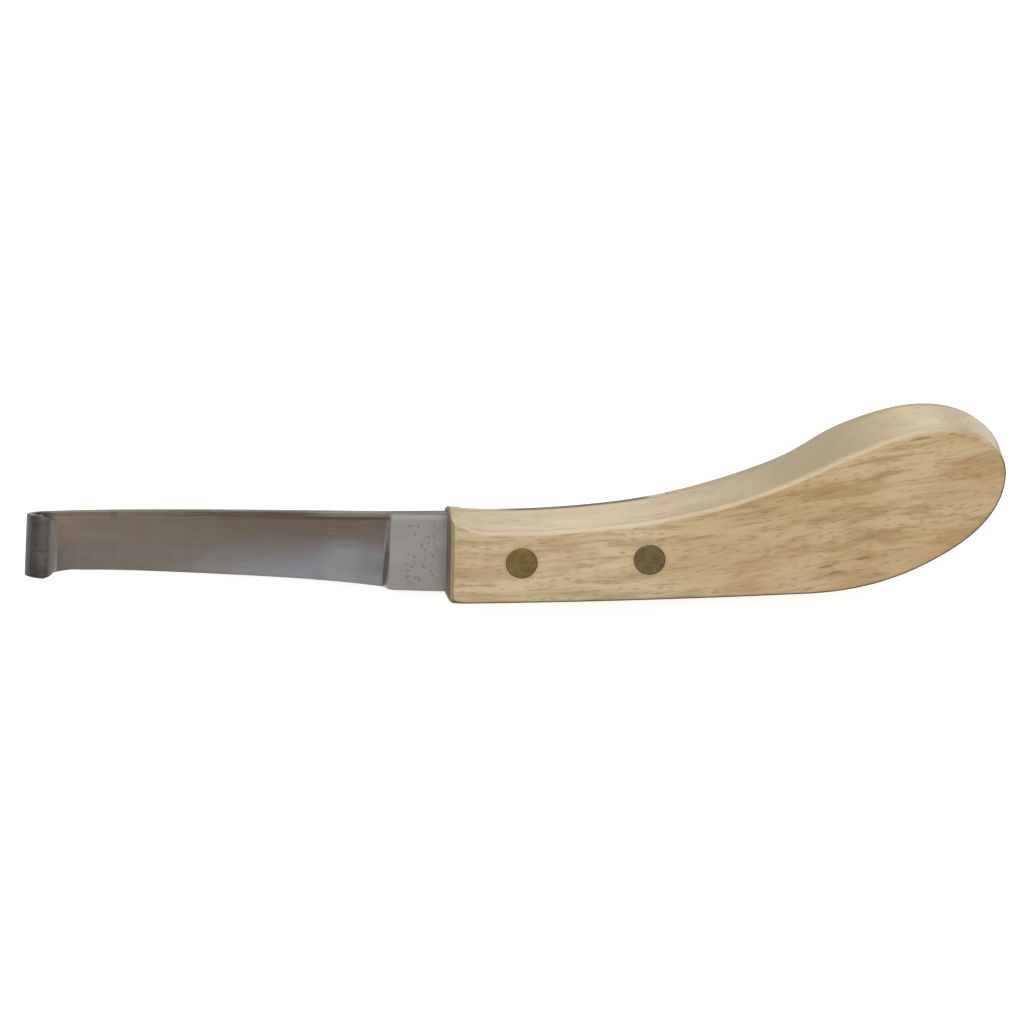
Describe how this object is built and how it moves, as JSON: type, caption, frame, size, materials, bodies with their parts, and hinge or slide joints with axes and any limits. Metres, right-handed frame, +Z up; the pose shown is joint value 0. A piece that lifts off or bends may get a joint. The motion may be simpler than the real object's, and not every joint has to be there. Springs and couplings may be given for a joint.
{
  "type": "hoof knife",
  "caption": "Hook-tipped hoof trimming knife: narrow hollow-ground steel blade with a curled tip, slab tang in a curved wooden handle with chamfered upper edges, brass pins.",
  "frame": {"origin": "on the flat far face that the knife lies on, between the two pins", "axes": "+X along the knife towards the butt, +Y from the cutting edge to the spine, +Z up through the thickness towards the side that the hook curls to"},
  "size_m": [0.2105, 0.0411, 0.02],
  "materials": {
    "blade_steel": "ground, satin",
    "handle_wood": "clear lacquer, semi-gloss",
    "pin_brass": "ground flush, tarnished"
  },
  "bodies": {
    "root": {"blade": "blade_steel", "handle": "handle_wood", "rivet_front": "pin_brass", "rivet_rear": "pin_brass"}
  },
  "joints": []
}
